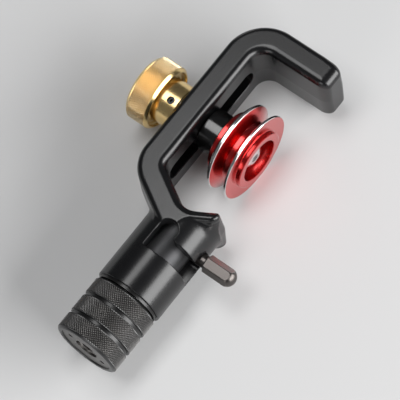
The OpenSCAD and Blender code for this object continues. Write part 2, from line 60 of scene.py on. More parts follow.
# The blade axis starts at the centre of the feed knob's end; every shape below is drawn from there
ORIGIN = Vector((KNOB_LOW.x, (KNOB_LOW.y + KNOB_HIGH.y) / 2, (KNOB_LOW.z + KNOB_HIGH.z) / 2))
HALF_THICK = (BODY_HIGH.z - BODY_LOW.z) / 2
BACK_X = BODY_HIGH.x - ORIGIN.x
OUTER_Y = BODY_HIGH.y - ORIGIN.y
TIP_Y = BODY_LOW.y - ORIGIN.y
HEAD_X = BODY_LOW.x - ORIGIN.x
ROLLER_X = (ROLLER_LOW.x + ROLLER_HIGH.x) / 2 - ORIGIN.x
LEVER_X = (LEVER_LOW.x + LEVER_HIGH.x) / 2 - ORIGIN.x
GRUB = (GRUB_LOW + GRUB_HIGH) / 2 - ORIGIN

# ---------------------------------------------------------------- the casting's own sizes, in millimetres
BAR_WIDTH = 10.6
HOOK_RADIUS = 15.9
LEG_RADIUS = 13.8
LEG_SLOPE = math.radians(60)
HEAD_RADIUS = 12.75
HEAD_LENGTH = 33.8
SEAT_X = HEAD_X + HEAD_LENGTH
SEAT_WALL = 4.9
SEAT_DROP = 12.0
DRAFT = 0.4
INNER_FILLET = 2.8
OUTER_FILLET = 2.0
EDGE_ROUND = 0.4
VALLEY_FILLET = 2.4
HEAD_FILLET = 1.6
RECESS_FILLET = 3.0
TIP_FILLET = 2.8
TIP_FACE_FILLET = 3.6
TIP_END_FILLET = 4.6
SLOT_START = SEAT_X + 9.2
SLOT_END = BACK_X - 16.2
SLOT_RADIUS = 4.0
CROSS_X = HEAD_X + 15.3
CROSS_WIDTH = 6.8
POCKET_RADIUS = 3.6
POCKET_END = CROSS_X + CROSS_WIDTH + 5.8
BORE_RADIUS = 8.3
BORE_END = SEAT_X - 3.9
BLADE_HOLE = 5.6
RING_BORE = 10.4
RING_DEPTH = 3.5
COLLAR_BORE = 8.95
COLLAR_DEPTH = 6.8
GRUB_HOLE = 1.3
CORNER_RELIEF = 0.35
BODY_STEP = 0.4
# Where the parts of the casting meet, and how far cuts run past what they cut
SEAT_TOP = 12.0
LEG_REACH = 2.5
WALL_REACH = 1.0
PLAN_FILLET = 2.0
FAR = 9.0
HEAD_EDGE = 0.35
HEAD_OVERRUN = 1.0
SLOT_OVERRUN = 2.0
BLEND_HALF = 2.0
FILLET_SHRINK = 0.9
TIP_RUN = 8.0
POCKET_CORNER = 0.6
OPENING_EDGE = 0.3
GRUB_EDGE = 0.15

# ---------------------------------------------------------------- the lever's own sizes, in millimetres
NECK_RADIUS = 2.4
LEVER_STEP = 0.16
HEX_START = -(HEAD_RADIUS + 1.55)
HEX_HALF = 3.0
HEX_TURN = math.radians(15)
HEX_EDGE = 0.22
HEX_TOP_EDGE = 0.3
HEX_TIP_EDGE = 0.5
DOME_RISE = 3.4
DOME_RADIUS = 3.43
NECK_FILLET = 0.2


# ---------------------------------------------------------------- distance fields, negative inside
def round_both(a, b, radius):
    """Inside both a and b, with the edge between them rounded."""
    u = np.maximum(a + radius, 0)
    v = np.maximum(b + radius, 0)
    return np.minimum(np.maximum(a, b), -radius) + np.sqrt(u * u + v * v)


def round_either(a, b, radius):
    """Inside a or b, with the corner between them filled by a fillet."""
    return -round_both(-a, -b, radius)


def round_all(radius, *fields):
    """Inside every field, with edges and corners rounded alike."""
    past = sum(np.maximum(field + radius, 0) ** 2 for field in fields)
    deepest = fields[0]
    for field in fields[1:]:
        deepest = np.maximum(deepest, field)
    return np.minimum(deepest, -radius) + np.sqrt(past)


def stadium(x, y, first, last, radius):
    """A slot with round ends, from first to last centre along x."""
    over = np.maximum(np.maximum(first - x, x - last), 0)
    return np.sqrt(over * over + y * y) - radius


def side_pair(x, y):
    """Distance past the outer side of the J-shaped bar's middle line, negative toward the cable."""
    leg_in = LEG_RADIUS - BAR_WIDTH
    middle = LEG_RADIUS - BAR_WIDTH / 2
    bar_y = OUTER_Y - BAR_WIDTH / 2
    leg_cy = OUTER_Y - LEG_RADIUS
    leg_cx = SEAT_X + (leg_in + math.cos(LEG_SLOPE) * leg_cy) / math.sin(LEG_SLOPE)
    hook_cx = BACK_X - HOOK_RADIUS
    hook_cy = OUTER_Y - HOOK_RADIUS
    leg_dx, leg_dy = -math.sin(LEG_SLOPE), math.cos(LEG_SLOPE)
    u = y - bar_y
    along = (x - leg_cx) * -math.cos(LEG_SLOPE) + (y - leg_cy) * -math.sin(LEG_SLOPE)
    leg = (x - leg_cx) * leg_dx + (y - leg_cy) * leg_dy - middle
    bend = np.hypot(x - leg_cx, y - leg_cy) - middle
    u = np.where(x < leg_cx, np.where(along > 0, leg, bend), u)
    hook = np.hypot(x - hook_cx, y - hook_cy) - (HOOK_RADIUS - BAR_WIDTH / 2)
    arm = x - (BACK_X - BAR_WIDTH / 2)
    return np.where(x > hook_cx, np.where(y < hook_cy, arm, hook), u)


def seat_sides(x, y):
    """Distance into the cable seat from its leg side and from its free side."""
    sine, cosine = math.sin(LEG_SLOPE), math.cos(LEG_SLOPE)
    leg_side = (x - SEAT_X) * sine - y * cosine
    free_side = (x - SEAT_X) * sine + y * cosine
    return leg_side, free_side


def bar_and_wall(y, outer, face, free_side, taper, near_head):
    """Outer sides of the bar and leg, and the wall on the free side of the seat."""
    leg = np.where(near_head, round_both(outer, -y - LEG_REACH, PLAN_FILLET), outer)
    back_side = -free_side - SEAT_WALL + taper
    wall = np.where(near_head, np.maximum(back_side, y - WALL_REACH), FAR)
    plan = round_either(leg, wall, PLAN_FILLET)
    stop = -y - SEAT_DROP + taper
    return round_all(OUTER_FILLET, plan, face, np.where(near_head, stop, -FAR))


def blade_head(x, y, z):
    """The round head, and the radius of its fillet to the bar, which shrinks toward the faces."""
    head = np.hypot(y, z) - HEAD_RADIUS
    head = round_both(head, HEAD_X - x, HEAD_EDGE)
    head = np.maximum(head, x - SEAT_X - HEAD_OVERRUN)
    shrink = np.clip(FILLET_SHRINK * (HALF_THICK - np.abs(z)), 0.01, None)
    toward_recess = np.clip((BLEND_HALF - y) / (2 * BLEND_HALF), 0, 1)
    blend = HEAD_FILLET + (RECESS_FILLET - HEAD_FILLET) * toward_recess
    return head, np.minimum(blend, shrink)


def hook_tip(y, outer, inner, face):
    """The tip of the hook, rounded on every edge and most at the front."""
    end = TIP_Y - y
    nearness = np.clip(1 + end / TIP_RUN, 0, 1)
    side_radius = OUTER_FILLET + (TIP_FILLET - OUTER_FILLET) * nearness
    face_radius = OUTER_FILLET + (TIP_FACE_FILLET - OUTER_FILLET) * nearness
    past_side = np.maximum(np.maximum(outer, inner) + side_radius, 0) / side_radius
    past_face = np.maximum(face + face_radius, 0) / face_radius
    past_end = np.maximum(end + TIP_END_FILLET, 0) / TIP_END_FILLET
    return OUTER_FILLET * (np.sqrt(past_side ** 2 + past_face ** 2 + past_end ** 2) - 1)


def bar_slot(x, y, z):
    """The slot through the bar that the roller's carriage slides in."""
    slot = stadium(x, z, SLOT_START + SLOT_RADIUS, SLOT_END - SLOT_RADIUS, SLOT_RADIUS)
    return np.maximum(slot, OUTER_Y - BAR_WIDTH - SLOT_OVERRUN - y)


def lever_opening(x, y, z):
    """Two pockets a quarter turn apart and the cross slot between them."""
    pocket_stop = POCKET_END - POCKET_RADIUS
    front = np.maximum(stadium(x, y, CROSS_X, pocket_stop, POCKET_RADIUS), CROSS_X - x)
    front = np.maximum(front, -z)
    low = np.maximum(stadium(x, z, CROSS_X, pocket_stop, POCKET_RADIUS), CROSS_X - x)
    low = np.maximum(low, y)
    cross = np.abs(x - CROSS_X - CROSS_WIDTH / 2) - CROSS_WIDTH / 2
    cross = np.maximum(cross, np.maximum(y - POCKET_RADIUS, -z - POCKET_RADIUS))
    return round_either(np.minimum(front, low), cross, POCKET_CORNER)


def bores(x, y, z):
    """Bores about the blade axis for the carrier, the feed collar, the blade's nose and the rear ring."""
    radius = np.hypot(y, z)
    bore = np.maximum(radius - BORE_RADIUS, x - BORE_END - CORNER_RELIEF)
    collar = np.maximum(radius - COLLAR_BORE, x - HEAD_X - COLLAR_DEPTH - CORNER_RELIEF)
    nose = np.maximum(radius - BLADE_HOLE, x - SEAT_X - HEAD_OVERRUN)
    ring = np.maximum(radius - RING_BORE, x - HEAD_X - RING_DEPTH)
    return np.minimum(np.minimum(bore, ring), np.minimum(nose, collar))


def grub_hole(x, y, z):
    """Hole for the ring's grub screw, straight toward the blade axis."""
    reach = math.hypot(GRUB.y, GRUB.z)
    toward_y, toward_z = GRUB.y / reach, GRUB.z / reach
    off_line = np.hypot(x - GRUB.x, y * toward_z - z * toward_y) - GRUB_HOLE
    return np.maximum(off_line, -y * toward_y - z * toward_z)


def casting(x, y, z):
    """The cast body: J-shaped bar, blade head, seat wall, lever opening, slot and bores."""
    taper = DRAFT * np.abs(z) / HALF_THICK
    face = np.abs(z) - HALF_THICK
    u = side_pair(x, y)
    outer = u - BAR_WIDTH / 2 + taper
    inner = -u - BAR_WIDTH / 2 + taper
    leg_side, free_side = seat_sides(x, y)
    seat = -round_both(-leg_side - taper, -free_side - taper, VALLEY_FILLET)
    near_head = (x < SLOT_START) & (y < SEAT_TOP)
    # Outer sides are rounded before the head and the inner sides, so no fillet bulges
    solid = bar_and_wall(y, outer, face, free_side, taper, near_head)
    head, fillet = blade_head(x, y, z)
    solid = round_either(solid, head, fillet)
    body = round_both(solid, np.where(near_head, seat, inner), INNER_FILLET)
    at_tip = (x > BACK_X - 2 * BAR_WIDTH) & (y < 0)
    body = np.where(at_tip, np.maximum(body, hook_tip(y, outer, inner, face)), body)
    body = round_both(body, -bar_slot(x, y, z), EDGE_ROUND)
    body = round_both(body, -lever_opening(x, y, z), OPENING_EDGE)
    body = np.maximum(body, -bores(x, y, z))
    return round_both(body, -grub_hole(x, y, z), GRUB_EDGE)


def lever(x, y, z):
    """The lever: a round neck and a hexagon with softened edges and a domed end, along -Y."""
    top = LEVER_HIGH.y - ORIGIN.y
    tip = LEVER_LOW.y - ORIGIN.y
    across = x - LEVER_X
    hexagon = None
    for k in range(3):
        angle = HEX_TURN + math.radians(30 + 60 * k)
        side = np.abs(across * math.cos(angle) + z * math.sin(angle)) - HEX_HALF
        hexagon = side if hexagon is None else round_both(hexagon, side, HEX_EDGE)
    radius = np.hypot(across, z)
    dome = np.sqrt(radius * radius + np.maximum(tip + DOME_RISE - y, 0) ** 2) - DOME_RADIUS
    hexagon = round_both(hexagon, y - HEX_START, HEX_TOP_EDGE)
    hexagon = np.maximum(round_both(hexagon, tip - y, HEX_TIP_EDGE), dome)
    neck = np.maximum(radius - NECK_RADIUS, y - top)
    return round_either(hexagon, np.maximum(neck, HEX_START - 1 - y), NECK_FILLET)


# ---------------------------------------------------------------- meshes
def place(points):
    """Design millimetres to the row frame in metres."""
    return (np.asarray(points, float) + np.array(ORIGIN)) * MM


def link(name, mesh):
    """A new object in the scene."""
    piece = bpy.data.objects.new(name, mesh)
    bpy.context.scene.collection.objects.link(piece)
    return piece


def gradient(field, points, step):
    """Unit normals of a field at some points."""
    result = np.zeros_like(points)
    for axis in range(3):
        ahead, behind = points.copy(), points.copy()
        ahead[:, axis] += step
        behind[:, axis] -= step
        result[:, axis] = field(*ahead.T) - field(*behind.T)
    length = np.linalg.norm(result, axis=1, keepdims=True)
    return result / np.maximum(length, 1e-9)


def crossed_cells(value, axes, step):
    """A number for each grid cell that the surface crosses, and the mean of its edge crossings."""
    shape = np.array(value.shape) - 1
    total = np.zeros(tuple(shape) + (3,))
    count = np.zeros(tuple(shape))
    for a in np.ndindex(2, 2, 2):
        for axis in range(3):
            if a[axis]:
                continue
            b = list(a)
            b[axis] = 1
            va = value[tuple(slice(a[k], a[k] + shape[k]) for k in range(3))]
            vb = value[tuple(slice(b[k], b[k] + shape[k]) for k in range(3))]
            crossed = (va < 0) != (vb < 0)
            share = np.where(crossed, va / np.where(crossed, va - vb, 1), 0)
            count += crossed
            for k in range(3):
                total[..., k] += np.where(crossed, a[k] + (share if k == axis else 0), 0)
    used = count > 0
    index = np.full(tuple(shape), -1)
    index[used] = np.arange(used.sum())
    start = np.array([axis[0] for axis in axes])
    return index, start + (np.argwhere(used) + total[used] / count[used][:, None]) * step


def crossed_faces(inside, index):
    """A quad around each grid edge that the surface crosses, facing outward."""
    faces = []
    for axis in range(3):
        ahead = [slice(None)] * 3
        behind = [slice(None)] * 3
        ahead[axis], behind[axis] = slice(1, None), slice(None, -1)
        crossed = inside[tuple(behind)] != inside[tuple(ahead)]
        at = np.argwhere(crossed)
        flip = inside[tuple(behind)][crossed]
        b, c = (axis + 1) % 3, (axis + 2) % 3
        quad = []
        for db, dc in ((0, 0), (-1, 0), (-1, -1), (0, -1)):
            spot = at.copy()
            spot[:, b] += db
            spot[:, c] += dc
            quad.append(index[tuple(spot.T)])
        quad = np.array(quad).T
        quad[~flip] = quad[~flip][:, ::-1]
        faces.append(quad)
    return np.vstack(faces)


def field_mesh(name, field, low, high, step):
    """A closed mesh of a field's surface: one vertex in each cell that the surface crosses."""
    axes = [np.arange(low[k] - 2 * step, high[k] + 3 * step, step) for k in range(3)]
    value = field(*np.meshgrid(*axes, indexing="ij"))
    value[np.abs(value) < 1e-6] = 1e-6
    index, points = crossed_cells(value, axes, step)
    # Draw each vertex onto the surface along the field's own normal
    for _ in range(4):
        normal = gradient(field, points, 0.02)
        distance = field(*points.T)
        points -= normal * np.clip(distance, -step / 2, step / 2)[:, None]
    mesh = bpy.data.meshes.new(name)
    mesh.from_pydata(place(points).tolist(), [], crossed_faces(value < 0, index).tolist())
    mesh.update()
    mesh.polygons.foreach_set("use_smooth", [True] * len(mesh.polygons))
    mesh.normals_split_custom_set_from_vertices(gradient(field, points, 0.05).tolist())
    return link(name, mesh)


def lathe_points(rings, sectors, to_row, knurl_depth):
    """Corners of a turned solid; every other corner of a knurled ring is a valley."""
    points = []
    angles = np.arange(sectors) * 2 * math.pi / sectors
    for row, (radius, station, _, knurled) in enumerate(rings):
        for k, angle in enumerate(angles):
            reach = radius - (knurl_depth if knurled and (k + row) % 2 else 0.0)
            points.append(to_row(reach * math.cos(angle), reach * math.sin(angle), station))
    return points


def lathe_faces(rings, sectors, bored):
    """Faces of a turned solid, and the slot index of each."""
    faces, slots = [], []
    for row in range(len(rings) - 1):
        knurled = rings[row][3] and rings[row + 1][3]
        for k in range(sectors):
            nxt = (k + 1) % sectors
            a, b = row * sectors + k, row * sectors + nxt
            c, d = (row + 1) * sectors + nxt, (row + 1) * sectors + k
            if not knurled:
                faces.append((a, b, c, d))
            elif (k + row) % 2:
                faces += [(a, b, c), (a, c, d)]
            else:
                faces += [(a, b, d), (b, c, d)]
            slots += [rings[row][2]] * (2 if knurled else 1)
    last = (len(rings) - 1) * sectors
    if bored:
        faces += [(last + k, last + (k + 1) % sectors, (k + 1) % sectors, k) for k in range(sectors)]
        slots += [rings[-1][2]] * sectors
    else:
        faces += [tuple(range(sectors - 1, -1, -1)), tuple(range(last, last + sectors))]
        slots += [rings[0][2], rings[-1][2]]
    return faces, slots


def lathe(name, rings, sectors, to_row, knurl_depth=0.0, bored=False):
    """A turned solid from rings of (radius, station, slot index, knurled).
    A bored solid closes from its last ring to its first instead of with two end discs."""
    points = lathe_points(rings, sectors, to_row, knurl_depth)
    faces, slots = lathe_faces(rings, sectors, bored)
    mesh = bpy.data.meshes.new(name)
    mesh.from_pydata([tuple(p) for p in place(points)], [], faces)
    mesh.polygons.foreach_set("material_index", slots)
    mesh.update()
    sharpen(mesh, True)
    return link(name, mesh)


def sharpen(mesh, turn_out):
    """Keeps every edge over a small angle crisp, and can point all faces outward."""
    work = bmesh.new()
    work.from_mesh(mesh)
    if turn_out:
        bmesh.ops.recalc_face_normals(work, faces=work.faces)
    for face in work.faces:
        face.smooth = True
    for edge in work.edges:
        edge.smooth = len(edge.link_faces) == 2 and edge.calc_face_angle(0) < math.radians(22)
    work.to_mesh(mesh)
    work.free()


def about_blade(u, v, station):
    """A lathe point about the blade axis."""
    return (station, u, v)


def about_roller(u, v, station):
    """A lathe point about the roller's axle."""
    return (ROLLER_X + u, station, v)


# ---------------------------------------------------------------- materials
COAT_ROUGHNESS = 0.18
DRIFT_SCALE = 160.0
TURNING_SCALE = 5000.0
COLOR_DRIFT = 0.1
# Pointiness range over which convex edges are painted lighter, partly as wear and partly as a painted
# highlight
WORN_LIT_FROM, WORN_LIT_TO = 0.52, 0.62


def noise(nodes, links, where, scale, detail):
    """A noise texture's value."""
    node = nodes.new("ShaderNodeTexNoise")
    node.inputs["Scale"].default_value = scale
    node.inputs["Detail"].default_value = detail
    links.new(where, node.inputs["Vector"])
    return node.outputs["Fac"]


def remap(nodes, links, source, ends, low, high):
    """A value mapped to or from a range; ends is "From" or "To"."""
    node = nodes.new("ShaderNodeMapRange")
    node.inputs[ends + " Min"].default_value = low
    node.inputs[ends + " Max"].default_value = high
    links.new(source, node.inputs["Value"])
    return node.outputs["Result"]


def lay_over(nodes, links, factor, under, color):
    """One constant colour laid over another colour where the factor says."""
    node = nodes.new("ShaderNodeMix")
    node.data_type = "RGBA"
    node.inputs["B"].default_value = tuple(color) + (1,)
    links.new(factor, node.inputs["Factor"])
    links.new(under, node.inputs["A"])
    return node.outputs["Result"]


def drifting_tint(nodes, links, drift, color):
    """A colour that drifts a little darker and lighter."""
    tint = nodes.new("ShaderNodeMix")
    tint.data_type = "RGBA"
    tint.inputs["A"].default_value = tuple(c * (1 - COLOR_DRIFT) for c in color) + (1,)
    tint.inputs["B"].default_value = tuple(min(c * (1 + COLOR_DRIFT), 1) for c in color) + (1,)
    links.new(drift, tint.inputs["Factor"])
    return tint.outputs["Result"]


def base_color(nodes, links, where, shade, worn_and_lit_edge, peak_wear_and_highlight):
    """The base colour, with convex edges lighter as wear and as a painted highlight, and knurl peaks lighter
    and valleys darker as polish and as painted highlight and shade, where a finish has them.
    """
    # Convex edges lightened: partly real wear, partly a painted edge highlight
    if worn_and_lit_edge:
        edge = nodes.new("ShaderNodeNewGeometry").outputs["Pointiness"]
        band = remap(nodes, links, edge, "From", WORN_LIT_FROM, WORN_LIT_TO)
        shade = lay_over(nodes, links, band, shade, worn_and_lit_edge)
    # Knurl peaks painted lighter than the valleys: partly polish, partly painted highlight and shade
    if peak_wear_and_highlight:
        axis, valley, peak, lit_worn_peak_color = peak_wear_and_highlight
        rise = remap(nodes, links, from_axis(nodes, links, where, axis), "From", valley, peak)
        shade = lay_over(nodes, links, rise, shade, lit_worn_peak_color)
    return shade


def material(name, color, metallic, roughness, spread=0.08, grain=0.0, grain_scale=900.0, ior=1.5,
             coat=0.0, rings=None, ring_depth=0.0, worn_and_lit_edge=None, peak_wear_and_highlight=None):
    """A procedural finish: colour and roughness drift, fine grain, turning marks, edges lightened as wear and
    as a painted highlight, and knurl peaks painted light.
    """
    made = bpy.data.materials.new(name)
    made.use_nodes = True
    nodes, links = made.node_tree.nodes, made.node_tree.links
    shader = nodes["Principled BSDF"]
    shader.inputs["Metallic"].default_value = metallic
    shader.inputs["IOR"].default_value = ior
    shader.inputs["Coat Weight"].default_value = coat
    shader.inputs["Coat Roughness"].default_value = COAT_ROUGHNESS
    where = nodes.new("ShaderNodeTexCoord").outputs["Object"]
    drift = noise(nodes, links, where, DRIFT_SCALE, 4.0)
    rough = remap(nodes, links, drift, "To", roughness * (1 - spread), roughness * (1 + spread))
    links.new(rough, shader.inputs["Roughness"])
    shade = drifting_tint(nodes, links, drift, color)
    links.new(base_color(nodes, links, where, shade, worn_and_lit_edge, peak_wear_and_highlight), shader.inputs["Base Color"])
    height = None
    if grain:
        height = bump(nodes, links, noise(nodes, links, where, grain_scale, 2.0), grain, None)
    if rings is not None:
        height = bump(nodes, links, turning(nodes, links, where, rings), ring_depth, height)
    if height is not None:
        links.new(height, shader.inputs["Normal"])
    return made


def bump(nodes, links, source, depth, before):
    """Relief of a given depth in metres, on top of any relief before it."""
    node = nodes.new("ShaderNodeBump")
    node.inputs["Strength"].default_value = 1.0
    node.inputs["Distance"].default_value = depth
    links.new(source, node.inputs["Height"])
    if before is not None:
        links.new(before, node.inputs["Normal"])
    return node.outputs["Normal"]


def vector_math(nodes, links, operation, source, constant=None):
    """A vector operation on a source and, where it takes one, a constant."""
    node = nodes.new("ShaderNodeVectorMath")
    node.operation = operation
    links.new(source, node.inputs[0])
    if constant is not None:
        node.inputs[1].default_value = constant
    return node


def from_axis(nodes, links, where, axis):
    """Distance of a point from an axis."""
    centre, direction = axis
    shift = vector_math(nodes, links, "SUBTRACT", where, centre).outputs["Vector"]
    cross = vector_math(nodes, links, "CROSS_PRODUCT", shift, direction).outputs["Vector"]
    return vector_math(nodes, links, "LENGTH", cross).outputs["Value"]


def turning(nodes, links, where, axis):
    """Fine grooves about an axis: noise that varies only with station and distance from its centre."""
    centre, direction = axis
    shift = vector_math(nodes, links, "SUBTRACT", where, centre).outputs["Vector"]
    along = vector_math(nodes, links, "DOT_PRODUCT", shift, direction).outputs["Value"]
    reach = vector_math(nodes, links, "LENGTH", shift).outputs["Value"]
    both = nodes.new("ShaderNodeCombineXYZ")
    links.new(along, both.inputs["X"])
    links.new(reach, both.inputs["Y"])
    return noise(nodes, links, both.outputs["Vector"], TURNING_SCALE, 1.0)


BLADE_AXIS = (tuple(ORIGIN * MM), (1, 0, 0))
ROLLER_AXIS = (((ORIGIN.x + ROLLER_X) * MM, ORIGIN.y * MM, ORIGIN.z * MM), (0, 1, 0))
KNOB_RADIUS = (KNOB_HIGH.z - KNOB_LOW.z) / 2
LOCK_RADIUS = (LOCK_HIGH.z - LOCK_LOW.z) / 2
KNURL_PITCH = 0.92
KNURL_DEPTH = 0.42


def knurl_wear_and_highlight(axis, radius, lit_worn_peak_color):
    """Where a knurl's valleys and peaks lie, and the colour of its peaks, which are painted lighter partly as
    polish and partly as a painted highlight.
    """
    return axis, (radius - KNURL_DEPTH) * MM, radius * MM, lit_worn_peak_color


def make_materials():
    """Every finish on the tool, by the record's slot names and a few that belong to one piece."""
    return {
        "casting": material("satin_black_casting", (0.004, 0.004, 0.0045), 0.0, 0.25,
                            0.08, 2e-6, 1800, 1.53),
        # Also laid in the feed knob's grooves and on the lock's set screw as painted shade
        "oxide": material("black_ring_and_painted_shade", (0.004, 0.004, 0.004), 0.0, 0.3, 0.1, 0, 900, 1.5),
        "knob": material("anodised_knob", (0.07, 0.07, 0.07), 0.9, 0.34, 0.12, 2e-6, 2200),
        # Knurl peaks painted light and valleys dark: partly polish, partly painted highlight and shade
        "knob_knurl": material("anodised_knurl", (0.025, 0.025, 0.025), 0.9, 0.28, 0.12, 2e-6, 2200,
                               peak_wear_and_highlight=knurl_wear_and_highlight(BLADE_AXIS, KNOB_RADIUS, (0.50, 0.49, 0.48))),
        "plate": material("grey_plate", (0.13, 0.125, 0.12), 0.85, 0.36, 0.15,
                          rings=BLADE_AXIS, ring_depth=4e-6),
        "bush": material("gloss_black_bush", (0.006, 0.006, 0.006), 0.0, 0.16, 0.15,
                         rings=ROLLER_AXIS, ring_depth=2e-6, ior=1.7),
        "red": material("red_anodised", (0.66, 0.014, 0.012), 1.0, 0.26, 0.15,
                        rings=ROLLER_AXIS, ring_depth=3e-6, coat=1.0),
        "bright_rim": material("cut_rim", (0.86, 0.86, 0.86), 1.0, 0.2, 0.2,
                               rings=ROLLER_AXIS, ring_depth=3e-6),
        "brass": material("brass", (0.94, 0.68, 0.31), 1.0, 0.24, 0.15,
                          rings=ROLLER_AXIS, ring_depth=3e-6),
        # Knurl peaks painted light and valleys dark: partly polish, partly painted highlight and shade
        "brass_knurl": material("brass_knurl", (0.78, 0.53, 0.23), 1.0, 0.26, 0.15,
                                peak_wear_and_highlight=knurl_wear_and_highlight(ROLLER_AXIS, LOCK_RADIUS, (1.0, 0.90, 0.66))),
        "bronze": material("bearing_bronze", (0.5, 0.3, 0.12), 1.0, 0.4, 0.1),
        # The lever's edges are painted lighter, partly as wear and partly as a painted highlight
        "gunmetal": material("gunmetal", (0.10, 0.09, 0.085), 0.9, 0.3, 0.15, 3e-6, 1800,
                             worn_and_lit_edge=(0.42, 0.40, 0.39)),
        "holder": material("oxide_carrier", (0.045, 0.045, 0.047), 0.8, 0.42, 0.25, 1.2e-5, 2600),
        "steel": material("bright_steel", (0.8, 0.8, 0.8), 1.0, 0.2, 0.15,
                          rings=ROLLER_AXIS, ring_depth=3e-6),
    }


def finish_piece(piece, body, node, looks):
    """Puts a modelled piece on its body, in place of its CAD node."""
    for look in looks:
        piece.data.materials.append(look)
    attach(piece, body)
    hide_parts(node)
    return piece


# ---------------------------------------------------------------- pieces
def knurled_band(radius, start, end, slot_index, pitch):
    """Rings of a knurled band, fading to a plain edge at both ends."""
    rows = max(2, round((end - start) / (pitch / 2)))
    rings = [(radius - 0.2, start, 0, False)]
    for k in range(rows):
        station = start + (end - start) * (k + 0.5) / rows
        rings.append((radius, station, slot_index if k < rows - 1 else 0, True))
    return rings + [(radius - 0.2, end, 0, False)]


def make_feed_knob(looks):
    """The feed knob: three knurled bands, two grooves with floors painted dark as shade, and the end plate's
    recess.
    """
    radius = KNOB_RADIUS
    length = KNOB_HIGH.x - KNOB_LOW.x
    groove = 1.3
    band = (length - 2 * groove) / 3
    plate = (PLATE_HIGH.z - PLATE_LOW.z) / 2
    floor = PLATE_HIGH.x - KNOB_LOW.x
    rings = [(0.5, floor, 0, False), (plate + 0.02, floor, 0, False), (plate + 0.02, 0.35, 0, False),
             (plate + 0.3, 0.05, 0, False), (radius - 1.1, 0.0, 0, False), (radius - 0.55, 0.25, 0, False)]
    for k in range(3):
        start = k * (band + groove)
        first = start + (0.7 if k == 0 else 0.15)
        last = start + band - (0.7 if k == 2 else 0.15)
        rings += knurled_band(radius, first, last, 2, KNURL_PITCH)
        if k < 2:
            # Groove floors take the dark oxide finish (slot 1) as painted shade
            rings += [(radius - 0.25, start + band, 1, False), (radius - 0.7, start + band + 0.12, 1, False),
                      (radius - 0.7, start + band + groove - 0.12, 1, False),
                      (radius - 0.25, start + band + groove, 0, False)]
    rings += [(radius - 0.9, length, 0, False), (6.2, length, 0, False)]
    piece = lathe("feed_knob_knurled", rings, 172, about_blade, KNURL_DEPTH)
    finishes = [looks["knob"], looks["oxide"], looks["knob_knurl"]]
    return finish_piece(piece, "feed", "feed_knob", finishes)


def make_lock_knob(looks):
    """The brass locking knob, its hub and the blind hole for its stud."""
    radius = LOCK_RADIUS
    hub_start, end = LOCK_LOW.y - ORIGIN.y, LOCK_HIGH.y - ORIGIN.y
    length, hub = 9.6, 8.6
    start = end - length
    dish = radius - 2.2
    hole, hole_end = 3.0, end - 3.0
    rings = [(0.4, hole_end, 0, False), (hole, hole_end, 0, False), (hole, hub_start, 0, False),
             (hub - 0.25, hub_start, 0, False), (hub, hub_start + 0.25, 0, False),
             (hub, start + 1.0, 0, False), (hub + 0.4, start + 1.3, 0, False),
             (dish, start + 1.3, 0, False), (dish + 0.5, start + 0.9, 0, False),
             (dish + 0.75, start, 0, False), (radius - 1.1, start, 0, False),
             (radius - 0.3, start + 0.8, 0, False)]
    rings += knurled_band(radius, start + 0.95, end - 0.95, 1, KNURL_PITCH)
    rings += [(radius - 0.3, end - 0.8, 0, False), (radius - 1.1, end, 0, False), (dish + 0.3, end, 0, False),
              (dish, end - 0.3, 0, False), (dish - 0.5, end - 0.6, 0, False), (0.4, end - 0.6, 0, False)]
    piece = lathe("lock_knob_knurled", rings, 172, about_roller, KNURL_DEPTH)
    cut_set_screw(piece, (hub_start + start) / 2 - 0.6)
    return finish_piece(piece, "lock", "lock_knob", [looks["brass"], looks["brass_knurl"]])


def cut_set_screw(piece, station):
    """Drills the hub for its set screw."""
    angle = math.radians(103)
    outward = Vector((math.cos(angle), 0, math.sin(angle)))
    bpy.ops.mesh.primitive_cylinder_add(vertices=48, radius=1.42 * MM, depth=9 * MM)
    drill = bpy.context.active_object
    centre = Vector(place([(ROLLER_X, station, 0)])[0]) + outward * 7.6 * MM
    drill.matrix_world = Matrix.Translation(centre) @ outward.to_track_quat("Z", "Y").to_matrix().to_4x4()
    cut = piece.modifiers.new("set_screw_hole", "BOOLEAN")
    cut.operation = "DIFFERENCE"
    cut.solver = "EXACT"
    cut.object = drill
    bpy.context.view_layer.update()
    done = bpy.data.meshes.new_from_object(piece.evaluated_get(bpy.context.evaluated_depsgraph_get()))
    piece.modifiers.clear()
    piece.data = done
    sharpen(done, False)
    bpy.data.objects.remove(drill)


